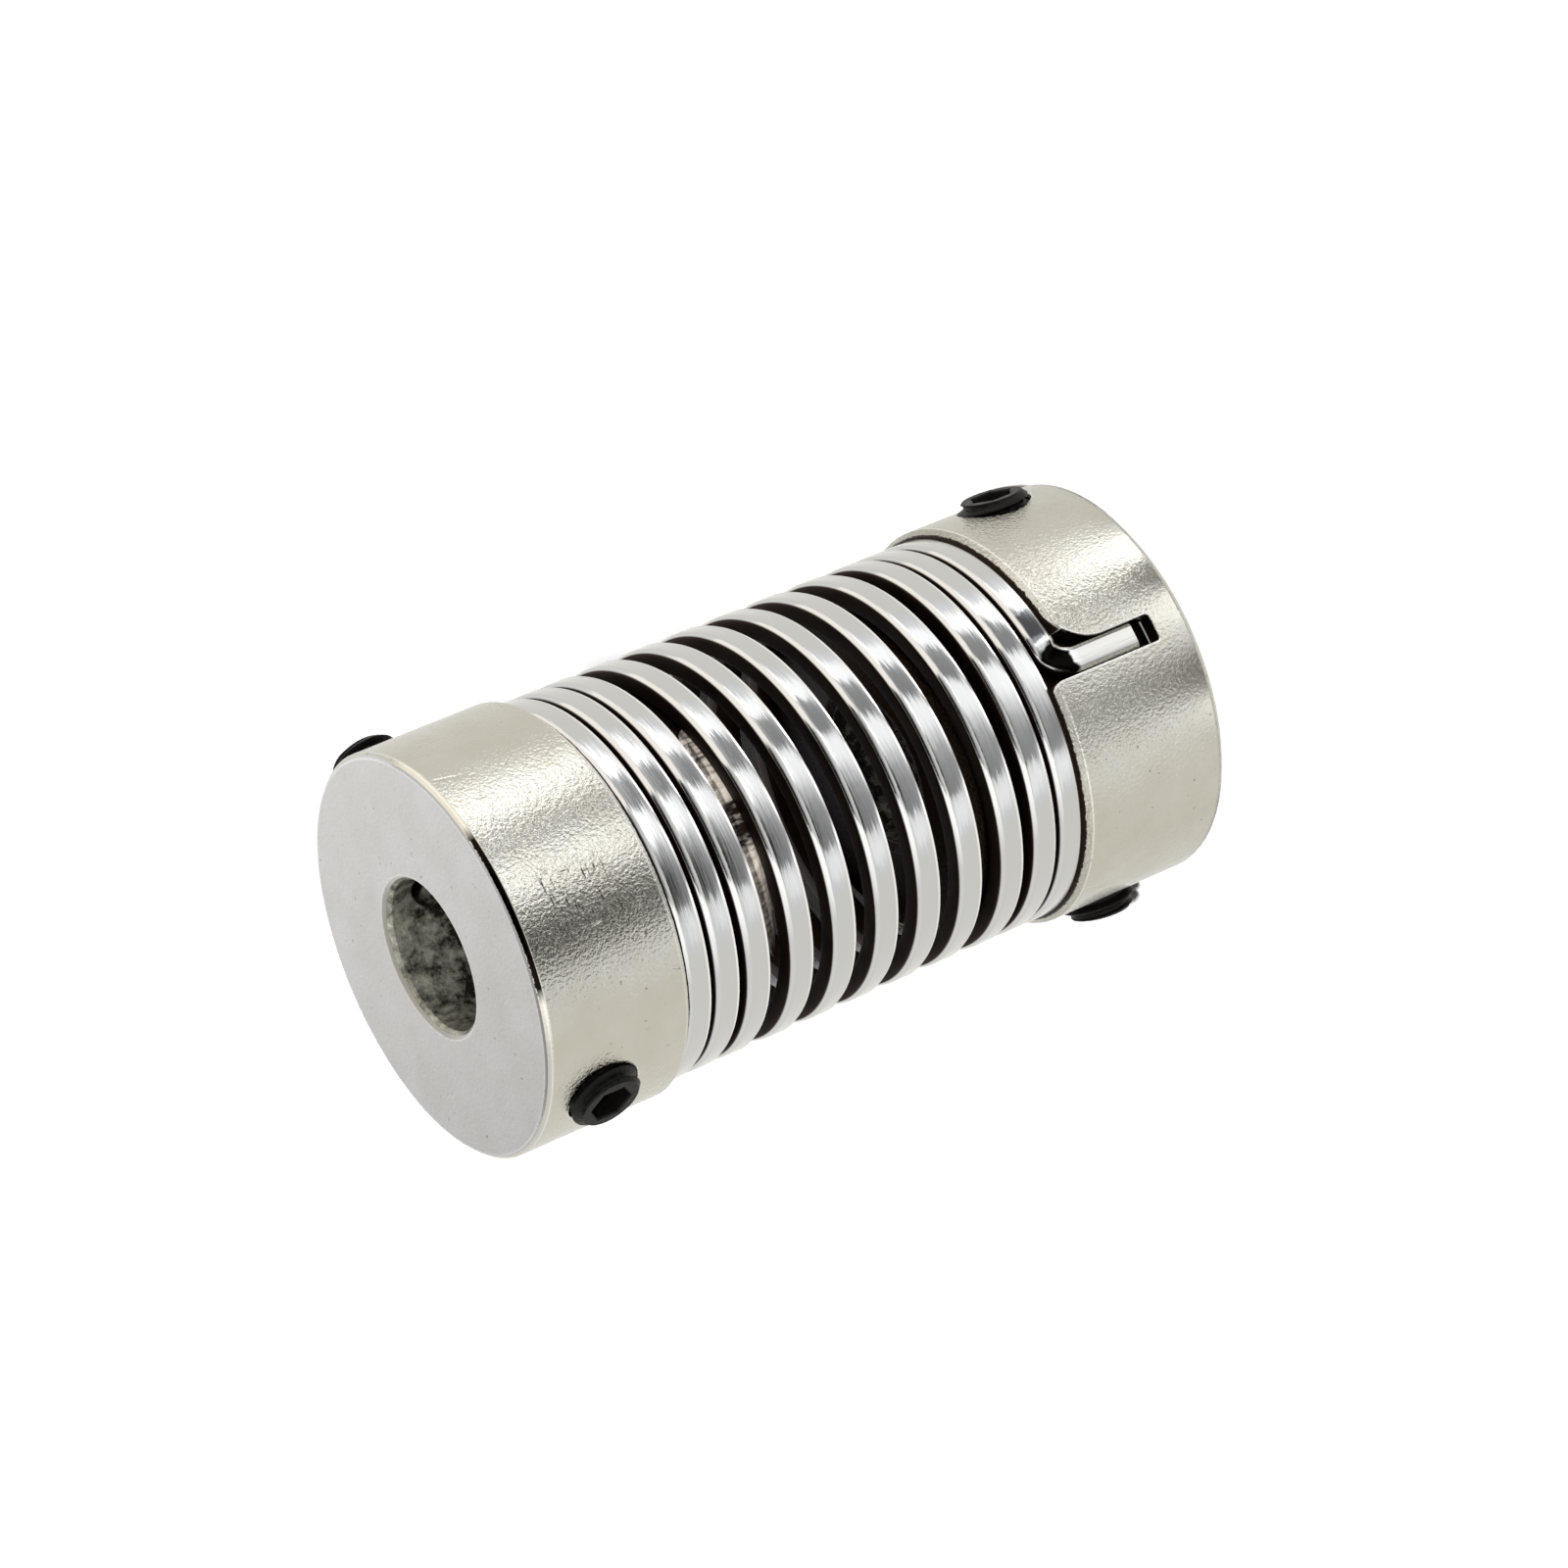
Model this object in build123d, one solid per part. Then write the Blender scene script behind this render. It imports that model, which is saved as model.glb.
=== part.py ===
from build123d import *
from math import atan, cos, degrees, pi, radians, sin
import os

# Flat-wire spring coupling for two 6 mm shafts, standing on the end face of its lower hub.
# The two hubs are the same piece, the upper one turned over. One hooked spring joins them.
# Sizes are millimetres and degrees. The origin is the centre of the lower end face, +Z is up.

overall_length = 31.0

hub_diameter = 16.0
bore_diameter = 6.0
shoulder_height = 5.5  # end face to the lowest point of the helical shoulder
hub_height = 10.85  # end face to the tip of the spigot inside the spring
end_chamfer = 0.2
shoulder_chamfer = 0.25
bore_chamfer = 0.25
spigot_chamfer = 0.3

rim_step = 0.3  # from the outside of the hub in to the outside of the spring
wire_width = 1.05  # along the axis
wire_thickness = 0.85  # from the inside of the spring to its outside
closed_pitch = 1.25  # pitch of the end coils, and of the shoulder they sit on
closed_angle = 880.0  # end coils, from the hook to the middle of the change of pitch
blend_angle = 70.0  # over which the pitch changes
spring_angle = 4140.0  # eleven and a half turns from hook to hook
hook_bend = 1.15  # bend radius at the middle of the wire
tang_height = 2.3  # end face to the tip of the tang
spigot_clearance = 0.1
seat_clearance = 0.02

slot_clearance = 0.04  # each side of the tang
slot_height = 1.55  # end face to the closed end of the slot
slot_entry_radius = 1.9  # round corner that the hook bends over
slot_exit_radius = 0.5
slot_end_radius = 0.15
slot_angle = -67.5  # from the front set screw to the slot

screw_diameter = 3.0
screw_length = 5.0
screw_clearance = 0.03
screw_chamfer = 0.2
socket_width = 1.5  # across flats
socket_depth = 1.6
screw_hole_height = 2.6
lower_front_stand = 0.35  # how far each set screw stands out of its hub
lower_rear_stand = 0.85
upper_front_stand = 1.15
upper_rear_stand = 0.55

path_step = 11.25  # degrees between the points of a helical edge

hub_radius = hub_diameter / 2
bore_radius = bore_diameter / 2
spring_radius = hub_radius - rim_step
inner_radius = spring_radius - wire_thickness
spigot_radius = inner_radius - spigot_clearance
half_angle = spring_angle / 2
half_length = overall_length / 2
shoulder_top = shoulder_height + closed_pitch
slot_width = wire_width + 2 * slot_clearance
pitch_slope = atan(closed_pitch / (2 * pi * spring_radius))

# The free coils take the pitch that brings the two halves together at mid length.
first_height = shoulder_height + seat_clearance + wire_width / 2
closed_rise = closed_pitch * half_angle / 360
free_angle = half_angle - closed_angle
free_pitch = closed_pitch + (half_length - first_height - closed_rise) * 360 / free_angle

# Turning a lower piece over about this level line gives the upper one.
turn_over = radians(slot_angle + half_angle)
turn_line = Axis((0, 0, half_length), (cos(turn_over), sin(turn_over), 0))


def extra_turn(angle):
    """Angle that counts at the free pitch, with a parabola where the pitch changes."""
    into = angle - (closed_angle - blend_angle / 2)
    if into <= 0:
        return 0.0
    if into < blend_angle:
        return into**2 / (2 * blend_angle)
    return into - blend_angle / 2


def wire_height(angle):
    """Height of the middle of the wire at an angle from the lower hook."""
    if angle > half_angle:
        return overall_length - wire_height(spring_angle - angle)
    rise = closed_pitch * angle + (free_pitch - closed_pitch) * extra_turn(angle)
    return first_height + rise / 360


def evenly(first, last, count):
    """Values from first to last with count equal steps."""
    return [first + (last - first) * i / count for i in range(count + 1)]


def rail(radius, path):
    """Edge on a cylinder through a path of angles from the lower slot and heights."""
    points = []
    for angle, height in path:
        turn = radians(slot_angle + angle)
        points.append(Vector(radius * cos(turn), radius * sin(turn), height))
    if len(points) == 2:
        return Edge.make_line(*points)
    return Edge.make_spline(points)


def solid_between(rails):
    """Solid whose long sides run between neighbouring rails, each rail a chain of edges."""
    faces = []
    for chain, neighbour in zip(rails, rails[1:] + rails[:1]):
        for edge, other in zip(chain, neighbour):
            faces.append(Face.make_surface_from_curves(edge, other))
    for end in (0, 1):
        corners = [chain[-end].position_at(end) for chain in rails]
        faces.append(Face(Wire.make_polygon(corners, close=True)))
    return Solid(Shell(faces))


# ---- spring: a wire section carried along a tang, a bend, the coils, a bend and a tang ----
coil_start = degrees(hook_bend * (1 - sin(pitch_slope)) / spring_radius)
bend_height = wire_height(coil_start) - hook_bend * cos(pitch_slope)


def hook_paths(offset):
    """Tang and bend of the lower hook at an offset from the middle of the wire."""
    bend = []
    for turn in evenly(0, pi / 2 - pitch_slope, 12):
        reach = hook_bend - (hook_bend + offset) * cos(turn)
        bend.append((degrees(reach / spring_radius), bend_height + (hook_bend + offset) * sin(turn)))
    return [[(bend[0][0], tang_height), bend[0]], bend]


def coil_path(offset):
    """All the coils at an offset from the middle of the wire, square to its slope."""
    path = []
    for angle in evenly(coil_start, spring_angle - coil_start, round(spring_angle / path_step)):
        rise = wire_height(angle + 0.5) - wire_height(angle - 0.5)
        slope = atan(rise / radians(spring_radius))
        back = degrees(offset * sin(slope) / spring_radius)
        path.append((angle - back, wire_height(angle) + offset * cos(slope)))
    return path


def turned(path):
    """The same path at the other end of the coupling, turned over."""
    return [(spring_angle - angle, overall_length - height) for angle, height in path[::-1]]


half_width = wire_width / 2
middle_radius = (spring_radius + inner_radius) / 2  # halves the flanks, so that each ruled face is nearly flat
wire_section = [
    (spring_radius, half_width),
    (spring_radius, -half_width),
    (middle_radius, -half_width),
    (inner_radius, -half_width),
    (inner_radius, half_width),
    (middle_radius, half_width),
]
wire_rails = []
for radius, offset in wire_section:
    paths = hook_paths(offset) + [coil_path(offset)] + [turned(path) for path in hook_paths(-offset)[::-1]]
    wire_rails.append([rail(radius, path) for path in paths])
spring = solid_between(wire_rails)


# ---- hub: a turned body with a helical shoulder, a slot for the tang and two tapped holes ----
def shoulder_at(angle):
    """Height of the shoulder at an angle from the slot."""
    return shoulder_height + closed_pitch * angle / 360


def shoulder_cutter():
    """What lies above the helical shoulder, outside the spigot, with the bevel of its rim."""
    reach = 0.5
    top = shoulder_top + reach
    corners = [
        (spigot_radius - reach, 0),
        (hub_radius - shoulder_chamfer, 0),
        (hub_radius + reach, -shoulder_chamfer - reach),
    ]
    angles = evenly(cut_margin, 360 - cut_margin, round(360 / path_step))
    sides = []
    for radius, drop in corners:
        sides.append([rail(radius, [(angle, shoulder_at(angle) + drop) for angle in angles])])
    for radius in (hub_radius + reach, spigot_radius - reach):
        sides.append([rail(radius, [(angle, top) for angle in angles])])
    return solid_between(sides)


def slot_cutter():
    """Slot for the tang, open at the shoulder, with the round entry that the hook bends over."""
    half = slot_width / 2
    entry = half + slot_entry_radius
    exit_side = half + slot_exit_radius
    entry_height = shoulder_at(degrees(entry / hub_radius))
    exit_height = shoulder_at(360 - degrees(exit_side / hub_radius))
    turn = radians(slot_angle)
    outward = (cos(turn), sin(turn), 0)
    along = (-sin(turn), cos(turn), 0)
    with BuildSketch(Plane((0, 0, 0), x_dir=along, z_dir=outward)) as outline:
        with BuildLine():
            Line((-half, slot_height), (half, slot_height))
            Line((half, slot_height), (half, entry_height - slot_entry_radius))
            RadiusArc((half, entry_height - slot_entry_radius), (entry, entry_height), slot_entry_radius)
            Polyline((entry, entry_height), (entry, shoulder_top + 1), (-exit_side, shoulder_top + 1),
                     (-exit_side, exit_height))
            RadiusArc((-exit_side, exit_height), (-half, exit_height - slot_exit_radius), slot_exit_radius)
            Line((-half, exit_height - slot_exit_radius), (-half, slot_height))
        make_face()
        closed_end = outline.vertices().group_by(Axis.Y)[0]
        fillet(closed_end, slot_end_radius)
    cutter = extrude(outline.sketch, hub_radius + 1)
    return cutter - Cylinder(spigot_radius, hub_height, align=base)


base = (Align.CENTER, Align.CENTER, Align.MIN)
cut_margin = degrees(slot_width / 4 / hub_radius)  # the slot takes away the step between the two ends

rim = Cylinder(hub_radius, shoulder_top, align=base)
rim = chamfer(rim.edges().group_by(Axis.Z)[0], end_chamfer)
rim = rim - shoulder_cutter() - slot_cutter()
spigot = Pos(0, 0, slot_height / 2) * Cylinder(spigot_radius, hub_height - slot_height / 2, align=base)
spigot = chamfer(spigot.edges().group_by(Axis.Z)[-1], spigot_chamfer)
bore = Cylinder(bore_radius, hub_height, align=base)
bore += Cone(bore_radius + bore_chamfer, bore_radius, bore_chamfer, align=base)
bore += Pos(0, 0, hub_height - bore_chamfer) * Cone(bore_radius, bore_radius + bore_chamfer, bore_chamfer, align=base)
tapped = Pos(0, 0, screw_hole_height) * Rot(0, 90, 0) * Cylinder(screw_diameter / 2, hub_diameter + 2)
hub = rim + spigot - bore - tapped


# ---- set screws: headless, with a hexagon socket, backed off from the bore ----
screw = Cylinder(screw_diameter / 2 - screw_clearance, screw_length, align=(Align.CENTER, Align.CENTER, Align.MAX))
screw = chamfer(screw.edges().filter_by(GeomType.CIRCLE), screw_chamfer)
socket = RegularPolygon(socket_width / 2, 6, major_radius=False)
screw -= Pos(0, 0, -socket_depth) * extrude(socket, socket_depth)

nodes = {
    "lower_hub": hub,
    "upper_hub": hub.rotate(turn_line, 180),
    "spring": spring,
}


def seat_screw(angle, stand):
    """Set screw in the lower hub, at an angle from the front one, standing out of its hole."""
    return Rot(0, 0, angle) * Pos(hub_radius + stand, 0, screw_hole_height) * Rot(0, 90, 0) * screw


nodes["lower_set_screw_front"] = seat_screw(0, lower_front_stand)
nodes["lower_set_screw_rear"] = seat_screw(180, lower_rear_stand)
nodes["upper_set_screw_front"] = seat_screw(0, upper_front_stand).rotate(turn_line, 180)
nodes["upper_set_screw_rear"] = seat_screw(180, upper_rear_stand).rotate(turn_line, 180)

os.makedirs("parts", exist_ok=True)
for name, shape in nodes.items():
    export_step(shape, f"parts/{name}.step")
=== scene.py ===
import math

import bpy
from mathutils import Matrix, Vector, noise


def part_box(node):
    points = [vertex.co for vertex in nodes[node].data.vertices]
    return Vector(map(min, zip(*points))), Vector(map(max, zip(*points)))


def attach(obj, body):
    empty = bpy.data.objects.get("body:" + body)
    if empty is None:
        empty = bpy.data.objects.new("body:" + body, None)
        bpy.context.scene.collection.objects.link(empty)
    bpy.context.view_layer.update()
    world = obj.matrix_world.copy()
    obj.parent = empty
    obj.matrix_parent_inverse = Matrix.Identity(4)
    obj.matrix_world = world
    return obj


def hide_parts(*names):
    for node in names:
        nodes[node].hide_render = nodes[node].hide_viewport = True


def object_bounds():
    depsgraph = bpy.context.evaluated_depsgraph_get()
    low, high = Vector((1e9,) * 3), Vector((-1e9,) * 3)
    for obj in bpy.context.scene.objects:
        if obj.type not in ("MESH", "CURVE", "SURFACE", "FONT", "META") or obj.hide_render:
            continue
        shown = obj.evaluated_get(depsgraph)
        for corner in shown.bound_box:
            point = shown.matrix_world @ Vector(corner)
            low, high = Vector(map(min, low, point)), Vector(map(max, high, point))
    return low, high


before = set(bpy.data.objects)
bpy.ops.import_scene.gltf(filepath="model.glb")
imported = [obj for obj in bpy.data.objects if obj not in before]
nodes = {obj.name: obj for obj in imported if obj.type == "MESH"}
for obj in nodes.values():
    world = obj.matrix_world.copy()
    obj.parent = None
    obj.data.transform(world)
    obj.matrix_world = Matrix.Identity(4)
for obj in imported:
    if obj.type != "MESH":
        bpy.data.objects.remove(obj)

# Spring shaft coupling, standing on its lower hub. Sizes below are millimetres and degrees.
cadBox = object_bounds()
mm = 0.001

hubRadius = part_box("lower_hub")[1].y / mm
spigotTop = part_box("lower_hub")[1].z / mm
springRadius = -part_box("spring")[0].x / mm
overallLength = cadBox[1].z / mm


# Small tools for meshes and materials.
def linearColor(hexColor):
    channels = [int(hexColor[i:i + 2], 16) / 255 for i in (1, 3, 5)]
    linear = [c / 12.92 if c <= 0.04045 else ((c + 0.055) / 1.055) ** 2.4 for c in channels]
    return (*linear, 1.0)


def newMaterial(name):
    material = bpy.data.materials.new(name)
    material.use_nodes = True
    material.node_tree.nodes.clear()
    return material


def addNode(tree, kind, settings=None, links=None):
    node = tree.nodes.new("ShaderNode" + kind)
    for key, value in (settings or {}).items():
        if isinstance(key, int) or key in node.inputs:
            node.inputs[key].default_value = value
        else:
            setattr(node, key, value)
    for key, source in (links or {}).items():
        output = source if isinstance(source, bpy.types.NodeSocket) else source.outputs[0]
        tree.links.new(output, node.inputs[key])
    return node


def placeInMm(tree):
    spot = addNode(tree, "TexCoord").outputs["Object"]
    return addNode(tree, "VectorMath", {"operation": "SCALE", "Scale": 1 / mm}, {0: spot})


def between(tree, value, low=None, high=None, soft=0.06):
    masks = []  # 1 inside each limit that is given, falling to 0 over the soft width outside it
    for limit, outwards in ((low, -soft), (high, soft)):
        if limit is not None:
            masks.append(addNode(tree, "MapRange", {"From Min": limit + outwards, "From Max": limit},
                                 {"Value": value}))
    if len(masks) == 1:
        return masks[0]
    return addNode(tree, "Math", {"operation": "MULTIPLY"}, {0: masks[0], 1: masks[1]})


def wear(piece, material):
    piece.data.materials.clear()
    piece.data.materials.append(material)


def buildMesh(name, vertices, faces, sharpAngle=None, measures=None):
    mesh = bpy.data.meshes.new(name)
    mesh.from_pydata([Vector(v) * mm for v in vertices], [], faces)
    mesh.shade_smooth()
    if sharpAngle:
        mesh.set_sharp_from_angle(angle=math.radians(sharpAngle))
    for key, values in (measures or {}).items():
        mesh.attributes.new(key, "FLOAT", "POINT").data.foreach_set("value", values)
    piece = bpy.data.objects.new(name, mesh)
    bpy.context.scene.collection.objects.link(piece)
    return piece


# Nickel plate over turned steel, put on in a barrel: satin and slightly warm, with a fine peel in what it
# mirrors, a painted highlight along its edges and painted shade in the inner places.
hubFinish = {
    "plate": "#C7C5BB",
    "shade": "#C2BEB2",  # where the plating is thinner
    "dirt": "#57524A",  # specks in the pores of the plate
    "edgeHighlight": "#F1EFEA",  # painted highlight along the edges, and on the lip in the closed end of the slot
    "paintedDark": "#261D17",  # painted shade on the spigot, the slot floor and the foot of the shoulder
    "boreLight": "#C9C7B6",
    "borePaintedShade": "#27231D",
    "paintedRimReflection": "#16110F",  # painted dark reflection: a dark line along one stretch of the upper rim
    "scratch": "#2B2622",  # knocks on the upper hub
    "roughness": 0.13,
    "bevelRoughness": 0.26,  # of the bevel at the foot of the shoulder
    "dullRoughness": 0.45,  # of the bore and of what is painted dark
    "dullMetallic": 0.6,  # of the bore and the lip, where dirt and broken plate scatter the light
    # sizes of the patterns
    "patchSize": 2.0,
    "poreSize": 0.3125,
    "mottleSize": 2 / 3,  # of the mottle in the bore's painted shade and highlights
    "raggedSize": 2 / 9,  # ragged border of the painted shade and of the painted dark reflection on the rim
    "raggedBy": 0.03,
    "grainSize": 0.14,
    "grainHeight": 0.032,
    "lowerGrain": 1.8,  # height of the lower hub's grain to the upper hub's
    "endGrain": 0.2,  # height of the grain and the dents on the end faces to that on the walls
    "waveSize": 1.6,
    "waveHeight": 0.012,
    "nickSize": 0.9,  # dents from the barrel
    "nickDepth": 0.022,
    "nickStretch": 0.45,  # longer along the axis
    "edge": 0.15,  # edges broken in the barrel
    "wornBevel": 0.75,  # how far the bevel at the foot of the shoulder is worn round into the wall
    # places: radius from the axis, depth from the nearer end face, height from the ground, angle around it
    "boreRadius": 3.02,
    "boreBevel": (3.12, 0.24),  # what is inside this radius or below this depth can be bore
    "holes": (4.5, 4.6),  # radius and depth up to which the tapped holes get the bore's painted shade
    "boreDepth": 3.0,  # at which the painted shade in the bore is darkest
    "boreShades": (0.48, 0.95),  # share of the painted shade at its mouth and there
    "boreMottle": 0.45,  # how far that share varies
    "dullRim": 3.27,
    "paintedDarkRadius": (3.03, 7.1),
    "paintedDarkDepth": 0.4,
    "footRadius": (3.4, 7.79),
    "bevelRadius": (3.4, 7.97),
    "footDepth": 5.2,
    "endDepth": (0.2, 0.1),  # of the end face with its bevels, and how softly it ends
    "flatRadius": (3.12, 7.87),  # of the end face with the part of its bevels that is worn into it
    "lipRadius": (7.12, 7.22),
    "lipDepth": (1.54, 1.56),
    "paintedRimRadius": 7.89,
    "paintedRimDepth": 0.25,
    "paintedRimAngles": (-93, -50),
    "scratchAngles": (-79, -68),
    "scratchHeights": (26.9, 29.4),
    "scratchSize": (0.8, 0.13),
    "scratchSlope": 0.25,
}


def nickelPlate():
    hub = hubFinish
    material = newMaterial("nickelPlate")
    tree = material.node_tree
    inMm = placeInMm(tree)
    xyz = addNode(tree, "SeparateXYZ", None, {0: inMm})
    height = xyz.outputs["Z"]
    flat = addNode(tree, "CombineXYZ", None, {"X": xyz.outputs["X"], "Y": xyz.outputs["Y"]})
    radius = addNode(tree, "VectorMath", {"operation": "LENGTH"}, {0: flat}).outputs["Value"]
    around = addNode(tree, "Math", {"operation": "ARCTAN2"}, {0: xyz.outputs["Y"], 1: xyz.outputs["X"]})
    offMiddle = addNode(tree, "Math", {"operation": "SUBTRACT", 1: overallLength / 2}, {0: height})
    fromMiddle = addNode(tree, "Math", {"operation": "ABSOLUTE"}, {0: offMiddle})
    depth = addNode(tree, "Math", {"operation": "SUBTRACT", 0: overallLength / 2}, {1: fromMiddle})

    # bore and tapped holes
    holeRadius, holeDepth = hub["holes"]
    byHoles = between(tree, depth, high=holeDepth)
    boreReach = addNode(tree, "MapRange", {"To Min": hub["boreRadius"], "To Max": holeRadius},
                        {"Value": byHoles})
    inBore = addNode(tree, "Math", {"operation": "LESS_THAN"}, {0: radius, 1: boreReach})
    innerEdge = addNode(tree, "Math", {"operation": "LESS_THAN", 1: hub["boreBevel"][0]}, {0: radius})
    deepDown = addNode(tree, "Math", {"operation": "GREATER_THAN", 1: hub["boreBevel"][1]}, {0: depth})
    nearBore = addNode(tree, "Math", {"operation": "MAXIMUM"}, {0: innerEdge, 1: deepDown})
    boreMask = addNode(tree, "Math", {"operation": "MULTIPLY"}, {0: inBore, 1: nearBore})

    # painted shade on the insides, and at the foot of the shoulder beside the first coil with its bevel
    paintedDarkRadius = between(tree, radius, *hub["paintedDarkRadius"], soft=0.02)
    paintedDarkDepth = between(tree, depth, low=hub["paintedDarkDepth"])
    notBore = addNode(tree, "Math", {"operation": "SUBTRACT", 0: 1.0}, {1: boreMask})
    paintedDarkInside = addNode(tree, "Math", {"operation": "MULTIPLY"}, {0: paintedDarkRadius, 1: notBore})
    paintedDark = addNode(tree, "Math", {"operation": "MULTIPLY"}, {0: paintedDarkInside, 1: paintedDarkDepth})
    raggedNoise = addNode(tree, "TexNoise", {"Scale": 1 / hub["raggedSize"], "Detail": 4.0, "Roughness": 0.7},
                          {"Vector": inMm})
    ragged = addNode(tree, "MapRange", {"From Min": 0.3, "From Max": 0.7, "To Min": -hub["raggedBy"],
                                        "To Max": hub["raggedBy"]}, {"Value": raggedNoise})
    raggedRadius = addNode(tree, "Math", {"operation": "ADD"}, {0: radius, 1: ragged})
    footRadius = between(tree, raggedRadius, *hub["footRadius"], soft=0.03)
    footDepth = between(tree, depth, low=hub["footDepth"])
    foot = addNode(tree, "Math", {"operation": "MULTIPLY"}, {0: footRadius, 1: footDepth})
    paintedDarkMask = addNode(tree, "Math", {"operation": "MAXIMUM"}, {0: paintedDark, 1: foot})
    bevelRadius = between(tree, radius, *hub["bevelRadius"], soft=0.02)
    bevels = addNode(tree, "Math", {"operation": "MULTIPLY"}, {0: bevelRadius, 1: footDepth})

    # end face, and the rim of the bore in it
    endDepth, endSoft = hub["endDepth"]
    endMask = between(tree, depth, high=endDepth, soft=endSoft)
    dullRim = between(tree, radius, high=hub["dullRim"], soft=0.02)
    boreEdge = addNode(tree, "Math", {"operation": "MULTIPLY"}, {0: dullRim, 1: endMask})

    # plate in two shades, with specks of dirt in its pores
    patches = addNode(tree, "TexNoise", {"Scale": 1 / hub["patchSize"], "Detail": 3.0}, {"Vector": inMm})
    patchMask = addNode(tree, "MapRange", {"From Min": 0.35, "From Max": 0.7}, {"Value": patches})
    plate = addNode(tree, "Mix", {"data_type": "RGBA", 6: linearColor(hub["plate"]),
                                  7: linearColor(hub["shade"])}, {0: patchMask})
    pores = addNode(tree, "TexNoise", {"Scale": 1 / hub["poreSize"], "Detail": 1.0}, {"Vector": inMm})
    poreMask = addNode(tree, "MapRange", {"From Min": 0.74, "From Max": 0.8, "To Max": 0.5}, {"Value": pores})
    specked = addNode(tree, "Mix", {"data_type": "RGBA", 7: linearColor(hub["dirt"])},
                      {0: poreMask, 6: plate.outputs[2]})

    # painted shade: the bore darkens with depth, and a random mottle breaks it with lighter patches that
    # stand in for its highlights
    mottle = addNode(tree, "TexNoise", {"Scale": 1 / hub["mottleSize"], "Detail": 8.0, "Roughness": 0.72},
                     {"Vector": inMm})
    mouthShade, deepShade = hub["boreShades"]
    darker = addNode(tree, "MapRange", {"From Max": hub["boreDepth"], "To Min": mouthShade,
                                        "To Max": deepShade}, {"Value": depth})
    mottled = addNode(tree, "MapRange", {"From Min": 0.35, "From Max": 0.65, "To Min": -hub["boreMottle"],
                                         "To Max": hub["boreMottle"]}, {"Value": mottle})
    boreShare = addNode(tree, "Math", {"operation": "ADD", "use_clamp": True}, {0: darker, 1: mottled})
    boreColor = addNode(tree, "Mix", {"data_type": "RGBA", 6: linearColor(hub["boreLight"]),
                                      7: linearColor(hub["borePaintedShade"])}, {0: boreShare})
    withBore = addNode(tree, "Mix", {"data_type": "RGBA"},
                       {0: boreMask, 6: specked.outputs[2], 7: boreColor.outputs[2]})

    # painted highlight along the edges: where the broken edge turns away from its face
    normal = addNode(tree, "Bevel", {"samples": 6, "Radius": hub["edge"] * mm})
    face = addNode(tree, "NewGeometry").outputs["Normal"]
    alike = addNode(tree, "VectorMath", {"operation": "DOT_PRODUCT"}, {0: normal, 1: face}).outputs["Value"]
    edgeHighlight = addNode(tree, "MapRange", {"From Min": 0.995, "From Max": 0.9}, {"Value": alike})
    unpolished = addNode(tree, "Math", {"operation": "MAXIMUM"}, {0: boreMask, 1: paintedDarkMask})
    notPaintedDark = addNode(tree, "Math", {"operation": "SUBTRACT", 0: 1.0}, {1: unpolished})
    rubbedFlatAndHighlightEdge = addNode(tree, "Math", {"operation": "MULTIPLY"}, {0: edgeHighlight, 1: notPaintedDark})
    # the lip in the closed end of the slot gets the same painted highlight
    lipRadius = between(tree, radius, *hub["lipRadius"], soft=0.02)
    lipDepth = between(tree, depth, *hub["lipDepth"], soft=0.002)
    lip = addNode(tree, "Math", {"operation": "MULTIPLY"}, {0: lipRadius, 1: lipDepth})
    edgeHighlightMask = addNode(tree, "Math", {"operation": "MAXIMUM"}, {0: rubbedFlatAndHighlightEdge, 1: lip})

    # painted dark reflection along one stretch of the upper rim, where the rim would mirror something dark
    paintedRimAngles = [math.radians(angle) for angle in hub["paintedRimAngles"]]
    paintedRimRadius = between(tree, raggedRadius, low=hub["paintedRimRadius"], soft=0.01)
    paintedRimHeight = between(tree, height, low=overallLength - hub["paintedRimDepth"], soft=0.03)
    paintedRimBand = addNode(tree, "Math", {"operation": "MULTIPLY"}, {0: paintedRimRadius, 1: paintedRimHeight})
    paintedRimReflection = addNode(tree, "Math", {"operation": "MULTIPLY"},
                   {0: between(tree, around, *paintedRimAngles, soft=0.08), 1: paintedRimBand})

    # short knocks that slope around the upper hub
    aroundMm = addNode(tree, "Math", {"operation": "MULTIPLY", 1: hubRadius}, {0: around})
    sloped = addNode(tree, "Math", {"operation": "MULTIPLY_ADD", 1: hub["scratchSlope"]},
                     {0: height, 2: aroundMm})
    strokePlace = addNode(tree, "CombineXYZ", None, {"X": sloped, "Y": height})
    strokeLength, strokeWidth = hub["scratchSize"]
    strokeStretch = (1 / strokeLength, 1 / strokeWidth, 1.0)
    strokes = addNode(tree, "VectorMath", {"operation": "MULTIPLY", 1: strokeStretch}, {0: strokePlace})
    strokeNoise = addNode(tree, "TexNoise", {"Scale": 1.0, "Detail": 2.0, "Distortion": 0.4},
                          {"Vector": strokes})
    strokeMask = addNode(tree, "MapRange", {"From Min": 0.58, "From Max": 0.68}, {"Value": strokeNoise})
    scratchAngles = [math.radians(angle) for angle in hub["scratchAngles"]]
    scratched = addNode(tree, "Math", {"operation": "MULTIPLY"},
                        {0: between(tree, around, *scratchAngles),
                         1: between(tree, height, *hub["scratchHeights"], soft=0.4)})
    scratches = addNode(tree, "Math", {"operation": "MULTIPLY"}, {0: scratched, 1: strokeMask})

    color = withBore.outputs[2]
    # colour layers: painted shade, painted highlight on the edges, painted dark reflection on the rim, and
    # knocks
    for tone, mask in (("paintedDark", paintedDarkMask), ("edgeHighlight", edgeHighlightMask), ("paintedRimReflection", paintedRimReflection), ("scratch", scratches)):
        layer = addNode(tree, "Mix", {"data_type": "RGBA", 7: linearColor(hub[tone])}, {0: mask, 6: color})
        color = layer.outputs[2]

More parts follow.
